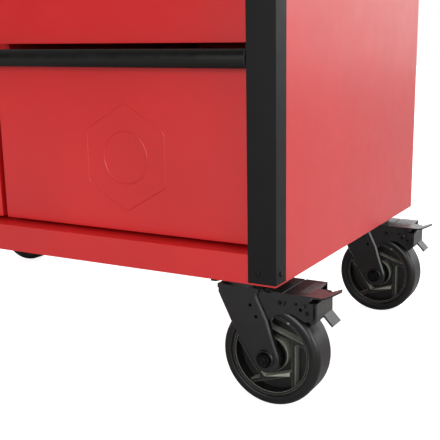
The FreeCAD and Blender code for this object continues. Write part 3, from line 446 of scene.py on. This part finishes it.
def row_tree():
    """Geometry Nodes: copies of a seed part on a grid, each turned a little at random, then painted."""
    tree = bpy.data.node_groups.new("rows_of_parts", "GeometryNodeTree")
    face = tree.interface
    face.new_socket("Geometry", in_out="OUTPUT", socket_type="NodeSocketGeometry")
    for label, kind in (("Seed part", "NodeSocketObject"), ("Columns", "NodeSocketInt"),
                        ("Rows", "NodeSocketInt"), ("Width", "NodeSocketFloat"), ("Depth", "NodeSocketFloat"),
                        ("Middle", "NodeSocketVector"), ("Facing", "NodeSocketVector"),
                        ("Wobble", "NodeSocketFloat"), ("Finish", "NodeSocketMaterial")):
        face.new_socket(label, in_out="INPUT", socket_type=kind)
    source = tree.nodes.new("NodeGroupInput").outputs
    grid = add(tree, "GeometryNodeMeshGrid", {"Size X": source["Width"], "Size Y": source["Depth"],
                                              "Vertices X": source["Columns"], "Vertices Y": source["Rows"]})
    seed = add(tree, "GeometryNodeObjectInfo", {"Object": source["Seed part"]})
    most = add(tree, "ShaderNodeCombineXYZ", {"Z": source["Wobble"]})
    turn = add(tree, "FunctionNodeRandomValue", {0: (0, 0, 0), 1: most.outputs[0], "Seed": 7},
               data_type="FLOAT_VECTOR")
    copies = add(tree, "GeometryNodeInstanceOnPoints", {"Points": grid.outputs["Mesh"],
                                                        "Instance": seed.outputs["Geometry"],
                                                        "Rotation": turn.outputs["Value"]})
    placed = add(tree, "GeometryNodeTransform", {"Geometry": copies.outputs["Instances"],
                                                 "Translation": source["Middle"],
                                                 "Rotation": source["Facing"]})
    real = add(tree, "GeometryNodeRealizeInstances", {"Geometry": placed.outputs["Geometry"]})
    painted = add(tree, "GeometryNodeSetMaterial", {"Geometry": real.outputs["Geometry"],
                                                    "Material": source["Finish"]})
    target = tree.nodes.new("NodeGroupOutput")
    tree.links.new(painted.outputs["Geometry"], target.inputs["Geometry"])
    return tree


def repeated(name, seed, counts, spans, middle, finish, body, facing=(0, 0, 0), wobble=0.0):
    """Evaluates the grid of copies of a seed mesh to one plain mesh that rides on a body."""
    part = bpy.data.objects.new(name + "_seed", seed)
    bpy.context.scene.collection.objects.link(part)
    holder = bpy.data.objects.new(name + "_holder", bpy.data.meshes.new(name))
    bpy.context.scene.collection.objects.link(holder)
    modifier = holder.modifiers.new("rows", "NODES")
    modifier.node_group = ROWS
    values = {"Seed part": part, "Columns": counts[0], "Rows": counts[1], "Width": spans[0],
              "Depth": spans[1], "Middle": middle, "Facing": facing, "Wobble": wobble,
              "Finish": FINISHES[finish]}
    for socket in ROWS.interface.items_tree:
        if socket.in_out == "INPUT":
            modifier[socket.identifier] = values[socket.name]
    mesh = baked(holder)
    bpy.data.objects.remove(part)
    piece = put_in_scene(name, mesh, None, body)
    return piece


def bar(length, width, height):
    """Seed mesh: a straight rib along Y with a narrower flat top, standing on z = 0."""
    work = bmesh.new()
    rings = []
    for end in (-1, 1):
        y = end * length / 2
        section = [(-width / 2, 0), (width / 2, 0), (width / 2, height * 0.55), (width * 0.3, height),
                   (-width * 0.3, height), (-width / 2, height * 0.55)]
        rings.append([work.verts.new((x, y, z)) for x, z in section])
    work.faces.new(rings[0])
    work.faces.new(rings[1])
    for i in range(6):
        j = (i + 1) % 6
        work.faces.new((rings[0][i], rings[0][j], rings[1][j], rings[1][i]))
    return seeded(work, False)


def seeded(work, smooth=True):
    """Turns a bmesh into a seed mesh with outward faces."""
    bmesh.ops.recalc_face_normals(work, faces=work.faces)
    mesh = bpy.data.meshes.new("seed")
    work.to_mesh(mesh)
    work.free()
    for face in mesh.polygons:
        face.use_smooth = smooth
    return mesh


def domed_head(radius, height):
    """Seed mesh: low domed rivet head on z = 0."""
    work = bmesh.new()
    rings = []
    for share, lift in ((1.0, 0.0), (1.0, 0.25), (0.9, 0.6), (0.65, 0.88), (0.3, 1.0)):
        rings.append([work.verts.new((radius * share * math.cos(k * math.pi / 8),
                                      radius * share * math.sin(k * math.pi / 8), height * lift))
                      for k in range(16)])
    for lower, upper in zip(rings, rings[1:]):
        for k in range(16):
            j = (k + 1) % 16
            work.faces.new((lower[k], lower[j], upper[j], upper[k]))
    work.faces.new(rings[0])
    work.faces.new(rings[-1])
    return seeded(work)


def ball(radius):
    """Seed mesh: bearing ball."""
    work = bmesh.new()
    bmesh.ops.create_icosphere(work, subdivisions=2, radius=radius)
    return seeded(work)


def mat_and_liners():
    """Ribs of the top mat and a ribbed liner in the bottom of every drawer."""
    low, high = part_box("top_mat")
    width, depth = high[0] - low[0], high[1] - low[1]
    columns = int((width - 12 * MM) / (MAT_RIB_PITCH * MM))
    middle = ((low[0] + high[0]) / 2, (low[1] + high[1]) / 2, high[2] - 0.05 * MM)
    repeated("top_mat_ribs", bar(depth - 8 * MM, 2.6 * MM, 0.7 * MM), (columns, 1),
             ((columns - 1) * MAT_RIB_PITCH * MM, 0), middle, "mat_rubber", BODY_OF["top_mat"])
    for opening in frame["record"]["physics"]["openings"]:
        if not opening["name"].endswith("_inside"):
            continue
        drawer = opening["name"][:-len("_inside")]
        corner, far = opening["box_m"]
        z = corner[2] - 0.95 * MM
        width, depth = far[0] - corner[0] - 2 * MM, far[1] - corner[1] - 2 * MM
        middle = ((corner[0] + far[0]) / 2, (corner[1] + far[1]) / 2, z)
        work = bmesh.new()
        bmesh.ops.create_cube(work, size=1)
        bmesh.ops.scale(work, vec=(width, depth, LINER_THICKNESS * MM), verts=work.verts)
        bmesh.ops.translate(work, vec=(middle[0], middle[1], z + LINER_THICKNESS / 2 * MM), verts=work.verts)
        upright = [edge for edge in work.edges if abs(edge.verts[0].co.z - edge.verts[1].co.z) > MM]
        bmesh.ops.bevel(work, geom=upright, offset=6 * MM, segments=5, affect="EDGES")
        closed(drawer + "_liner", work, "liner_rubber", drawer)
        columns = int((width - 14 * MM) / (LINER_RIB_PITCH * MM))
        repeated(drawer + "_liner_ribs", bar(depth - 14 * MM, 2.0 * MM, 0.8 * MM), (columns, 1),
                 ((columns - 1) * LINER_RIB_PITCH * MM, 0), (middle[0], middle[1], z + 1.55 * MM),
                 "liner_rubber", drawer)


def back_rivets():
    """Blind rivets that hold the back panel, along its two sides and its top and bottom."""
    low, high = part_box("back_panel")
    middle = ((low[0] + high[0]) / 2, high[1] - 0.02 * MM, (low[2] + high[2]) / 2)
    width = high[0] - low[0] - BACK_RIVET_INSET * MM
    height = high[2] - low[2] - BACK_RIVET_INSET * MM
    head = domed_head(3.2 * MM, 1.0 * MM)
    turned = (math.radians(-90), 0, 0)
    repeated("back_side_rivets", head, (2, 7), (width, height), middle, "red_enamel", "cabinet", turned,
             FULL_TURN)
    repeated("back_edge_rivets", head.copy(), (9, 2), (width * 0.875, height), middle, "red_enamel",
             "cabinet", turned, FULL_TURN)


def slide_balls():
    """Two bearing balls on each inner slide member, above and below it."""
    for drawer in DRAWERS:
        low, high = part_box(drawer + "_slides")
        height = high[2] - low[2] + 0.9 * MM
        inset = 4.2 * MM
        for side, x in (("left", low[0] + inset), ("right", high[0] - inset)):
            middle = (x, low[1] + 90 * MM, (low[2] + high[2]) / 2)
            repeated(f"{drawer}_balls_{side}", ball(0.44 * MM), (1, 2), (0, height), middle, "zinc_steel",
                     drawer, (math.radians(90), 0, 0))


def slide_rivets():
    """Flat rivets that fix each inner slide member to its drawer, on the outer face of its web."""
    for drawer in DRAWERS:
        low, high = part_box(drawer + "_slides")
        for side, x, turn in (("left", low[0] + 7.22 * MM, -90), ("right", high[0] - 7.22 * MM, 90)):
            middle = (x, (low[1] + high[1]) / 2, (low[2] + high[2]) / 2)
            repeated(f"{drawer}_slide_rivets_{side}", domed_head(3.4 * MM, 0.9 * MM), (1, 5), (0, 420 * MM),
                     middle, "zinc_steel", drawer, (0, math.radians(turn), 0))


def fork_details(end):
    """Plugs in the small holes of the brake wings, a brace between them and a cup round the nut."""
    node = end + "_caster_yoke"
    low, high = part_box(node)
    middle_y = (low[1] + high[1]) / 2
    crown = high[2] - 5 * MM
    for k, (back, down) in enumerate(((25, 15), (12, 17), (18, 23))):
        plug = [(0.02, 30.4), (2.3, 30.4), (2.3, 33.6), (1.9, 34.2), (0.02, 34.3)]
        spot = (high[0] - back * MM, middle_y, crown - down * MM)
        spun(f"{node}_plug_{k}", plug, spot, "caster_black", BODY_OF[node], 24)
    brace = bmesh.new()
    bmesh.ops.create_cube(brace, size=1)
    bmesh.ops.scale(brace, vec=(2.5 * MM, 59.8 * MM, 13 * MM), verts=brace.verts)
    bmesh.ops.bevel(brace, geom=list(brace.edges), offset=0.6 * MM, segments=2, affect="EDGES")
    bmesh.ops.translate(brace, vec=(high[0] - 15 * MM, middle_y, crown - 18.5 * MM), verts=brace.verts)
    closed(node + "_brace", brace, "caster_black", BODY_OF[node])
    cup = [(11.3, -40.0), (11.3, -42.6), (11.8, -43.3), (12.8, -43.3), (13.4, -42.6), (13.8, -40.0)]
    tyre = middle_of(end + "_caster_tyre")
    spun(node + "_axle_cup", cup, tyre, "caster_black", BODY_OF[node], 72)


def pedal_ribs(end):
    """Grip ribs pressed across the foot lever."""
    node = end + "_caster_brake_pedal"
    low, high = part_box(node)
    top = high[2] - 5.0 * MM
    middle = (low[0] + 46 * MM, (low[1] + high[1]) / 2, top - 0.02 * MM)
    repeated(node + "_ribs", bar(50 * MM, 1.6 * MM, 0.5 * MM), (4, 1), (12 * MM, 0), middle, "caster_black",
             BODY_OF[node])


def handle_caps(drawer):
    """Moulded caps on both ends of an extruded pull, cut to its outline."""
    node = drawer + "_handle"
    low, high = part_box(node)
    for word, edge, out in (("left", low[0], -1), ("right", high[0], 1)):
        work = bmesh.new()
        ring = [v.co for v in NODES[node].data.vertices if abs(v.co.x - edge) < 0.01 * MM]
        for x in (edge, edge + out * 1.2 * MM):
            for co in ring:
                work.verts.new((x, co.y, co.z))
        hull = bmesh.ops.convex_hull(work, input=work.verts)
        loose = [item for item in hull["geom_interior"] if isinstance(item, bmesh.types.BMVert)]
        bmesh.ops.delete(work, geom=loose, context="VERTS")
        bmesh.ops.dissolve_limit(work, angle_limit=math.radians(1), verts=work.verts, edges=work.edges)
        closed(f"{node}_cap_{word}", work, "cap_black", drawer)


def ridge(name, path, width, height, y, finish, body, facing=-1):
    """Rounded pressed line along a closed (x, z) path, raised from the plane at y towards -Y or +Y."""
    work = bmesh.new()
    section = [(math.cos(math.radians(a)) * width / 2, math.sin(math.radians(a)) * height)
               for a in (0, 30, 60, 90, 120, 150, 180)]
    rings = []
    for k, (x, z) in enumerate(path):
        before, after = path[k - 1], path[(k + 1) % len(path)]
        along = Vector((after[0] - before[0], after[1] - before[1])).normalized()
        rings.append([work.verts.new((x + along.y * across, y + facing * out, z - along.x * across))
                      for across, out in section])
    for k, ring in enumerate(rings):
        following = rings[(k + 1) % len(rings)]
        for i, vert in enumerate(ring):
            j = (i + 1) % len(ring)
            work.faces.new((vert, ring[j], following[j], following[i]))
    return closed(name, work, finish, body, 60)


def rounded_polygon(x, z, radius, sides, corner, start):
    """Closed path of a regular polygon whose corners are rounded."""
    path = []
    inner = radius - corner / math.cos(math.pi / sides)
    for k in range(sides):
        turn = start + 360 * k / sides
        cx = x + inner * math.cos(math.radians(turn))
        cz = z + inner * math.sin(math.radians(turn))
        for step in range(9):
            angle = math.radians(turn - 180 / sides + 360 / sides * step / 8)
            path.append((cx + corner * math.cos(angle), cz + corner * math.sin(angle)))
    return path


def pressed_nut():
    """Plain hexagon-nut outline pressed in the lower right front in place of any mark."""
    low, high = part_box("bottom_right_drawer_box")
    x = high[0] - 212 * MM
    z = low[2] + 108 * MM
    face = low[1]
    body = BODY_OF["bottom_right_drawer_box"]
    hexagon = rounded_polygon(x, z, 78 * MM, 6, 9 * MM, 30)
    ridge("pressed_hexagon", hexagon, 2.2 * MM, 0.7 * MM, face, "red_enamel", body)
    circle = [(x + 38 * MM * math.cos(a * math.pi / 48), z + 38 * MM * math.sin(a * math.pi / 48))
              for a in range(96)]
    ridge("pressed_circle", circle, 2.2 * MM, 0.7 * MM, face, "red_enamel", body)


def back_beads():
    """Three upright beads pressed in the back panel to stiffen it."""
    low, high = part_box("back_panel")
    middle = (low[2] + high[2]) / 2
    half = (high[2] - low[2]) / 2 - 70 * MM
    bend = 22 * MM
    for k, share in enumerate((0.2, 0.5, 0.8)):
        x = low[0] + (high[0] - low[0]) * share
        path = []
        for sign, start in ((1, 0), (-1, 180)):
            for step in range(17):
                angle = math.radians(start + 180 * step / 16)
                path.append((x + bend * math.cos(angle),
                             middle + sign * (half - bend) + bend * math.sin(angle)))
        ridge(f"back_bead_{k}", path, 5 * MM, 1.6 * MM, high[1], "red_enamel", "cabinet", 1)


def flange_screws():
    """Four button-head screws in each flange of the push handle."""
    low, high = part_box("push_handle")
    centre_z = (low[2] + high[2]) / 2
    for word, y in (("front", low[1] + 24 * MM), ("rear", high[1] - 24 * MM)):
        middle = (low[0] + 3.95 * MM, y, centre_z)
        repeated(f"push_handle_screws_{word}", domed_head(3.0 * MM, 1.8 * MM), (2, 2),
                 (26.4 * MM, 26.4 * MM), middle, "black_oxide", "cabinet", (0, math.radians(90), 0),
                 FULL_TURN)


def details():
    """Everything that the CAD leaves plain."""
    for end in ENDS:
        for kind in ("caster", "rigid"):
            moulded_tyre(f"{end}_{kind}_tyre")
            hub_details(f"{end}_{kind}_rim")
        fork_details(end)
        pedal_ribs(end)
    mat_and_liners()
    back_rivets()
    back_beads()
    flange_screws()
    slide_balls()
    slide_rivets()
    for drawer in DRAWERS:
        handle_caps(drawer)
    pressed_nut()


# ---- Studio ------------------------------------------------------------------------------------

def soft_box(name, place, target, size, watts):
    """Rectangular lamp that faces its target."""
    light = bpy.data.lights.new(name, "AREA")
    light.shape = "RECTANGLE"
    light.size, light.size_y = size
    light.energy = watts
    lamp = bpy.data.objects.new(name, light)
    bpy.context.scene.collection.objects.link(lamp)
    lamp.location = place
    lamp.rotation_euler = (Vector(target) - Vector(place)).to_track_quat("-Z", "Y").to_euler()


def pale_floor():
    """Wide floor, white to the eye and a dimmer grey to what is reflected in the paint."""
    reach = 30.0
    corners = [(-reach, -reach, 0), (reach, -reach, 0), (reach, reach, 0), (-reach, reach, 0)]
    mesh = bpy.data.meshes.new("studio_floor")
    mesh.from_pydata(corners, [], [(0, 1, 2, 3)])
    floor = bpy.data.objects.new("studio_floor", mesh)
    bpy.context.scene.collection.objects.link(floor)
    material, tree, shader, place = blank("pale_floor_paint", Roughness=0.8, Specular_IOR_Level=0.1)
    cloud = add(tree, NOISE, {"Vector": place, "Scale": across(400), "Detail": 2.0})
    speck = add(tree, RANGE, {"Value": cloud.outputs["Fac"], **MOST_NOISE})
    colour = add(tree, MIX, {0: speck.outputs[0], 6: paint("#c9c9c9"), 7: paint("#c2c2c2")}, data_type="RGBA")
    tree.links.new(colour.outputs[2], shader.inputs["Base Color"])
    glow = add(tree, "ShaderNodeEmission", {"Color": paint("#ffffff"), "Strength": 0.85})
    lit = add(tree, "ShaderNodeAddShader", {0: shader.outputs[0], 1: glow.outputs[0]})
    dim = add(tree, "ShaderNodeBsdfDiffuse", {"Color": paint("#aaaaaa")})
    seen = add(tree, "ShaderNodeLightPath").outputs["Is Camera Ray"]
    choice = add(tree, "ShaderNodeMixShader", {0: seen, 1: dim.outputs[0], 2: lit.outputs[0]})
    tree.links.new(choice.outputs[0], tree.nodes["Material Output"].inputs["Surface"])
    mesh.materials.append(material)


def surroundings(front, right, back):
    """White backdrop whose light is weak in front of the chest and strong behind it to the right."""
    world = bpy.data.worlds.new("white_surroundings")
    bpy.context.scene.world = world
    world.use_nodes = True
    tree = world.node_tree
    aim = add(tree, "ShaderNodeTexCoord").outputs["Generated"]
    toward = add(tree, "ShaderNodeSeparateXYZ", {"Vector": aim})
    rear = add(tree, RANGE, {"Value": toward.outputs["Y"], "From Min": -0.7, "From Max": 0.6,
                             "To Min": front, "To Max": back})
    side = add(tree, RANGE, {"Value": toward.outputs["X"], "From Min": -0.2, "From Max": 0.9,
                             "To Min": 0.0, "To Max": right})
    lift = add(tree, RANGE, {"Value": toward.outputs["Z"], "From Min": -0.05, "From Max": 0.5,
                             "To Min": 0.62, "To Max": 1.2})
    level = add(tree, "ShaderNodeMath", {0: rear.outputs[0], 1: side.outputs[0]}, operation="ADD")
    glow = add(tree, "ShaderNodeMath", {0: level.outputs[0], 1: lift.outputs[0]}, operation="MULTIPLY")
    seen = add(tree, "ShaderNodeLightPath").outputs["Is Camera Ray"]
    strength = add(tree, MIX, {"Factor": seen, "A": glow.outputs[0], "B": 1.0})
    backdrop = tree.nodes["Background"]
    backdrop.inputs["Color"].default_value = (1, 1, 1, 1)
    tree.links.new(strength.outputs[0], backdrop.inputs["Strength"])


def studio():
    """Pale floor, white surroundings and soft boxes above, in front and to the right."""
    pale_floor()
    surroundings(0.05, 0.5, 1.5)
    soft_box("front_box", (0.7, -3.7, 1.1), (0.2, 0, 0.4), (2.4, 1.4), 68)
    soft_box("right_box", (3.8, -1.2, 1.2), (0.5, 0, 0.4), (2.0, 1.4), 34)
    soft_box("top_box", (-0.2, -0.4, 3.6), (0, 0, 0.5), (2.6, 2.0), 5)


def camera():
    """Long lens low at the right-hand front corner, placed from the corner trim."""
    low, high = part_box("corner_trim_right")
    data = bpy.data.cameras.new("camera")
    data.lens = 63.43
    data.sensor_width = 36
    data.shift_x = -0.1368
    data.shift_y = 0.0228
    data.clip_end = 200
    eye = bpy.data.objects.new("camera", data)
    bpy.context.scene.collection.objects.link(eye)
    eye.location = (high[0] + 0.4272, low[1] - 0.8755, 0.4963)
    eye.rotation_euler = (math.radians(90 - 12.863), 0, math.radians(25.708))
    bpy.context.scene.camera = eye


ROWS = row_tree()
finish_nodes()
details()
studio()
camera()
bpy.context.scene.view_settings.view_transform = "Standard"
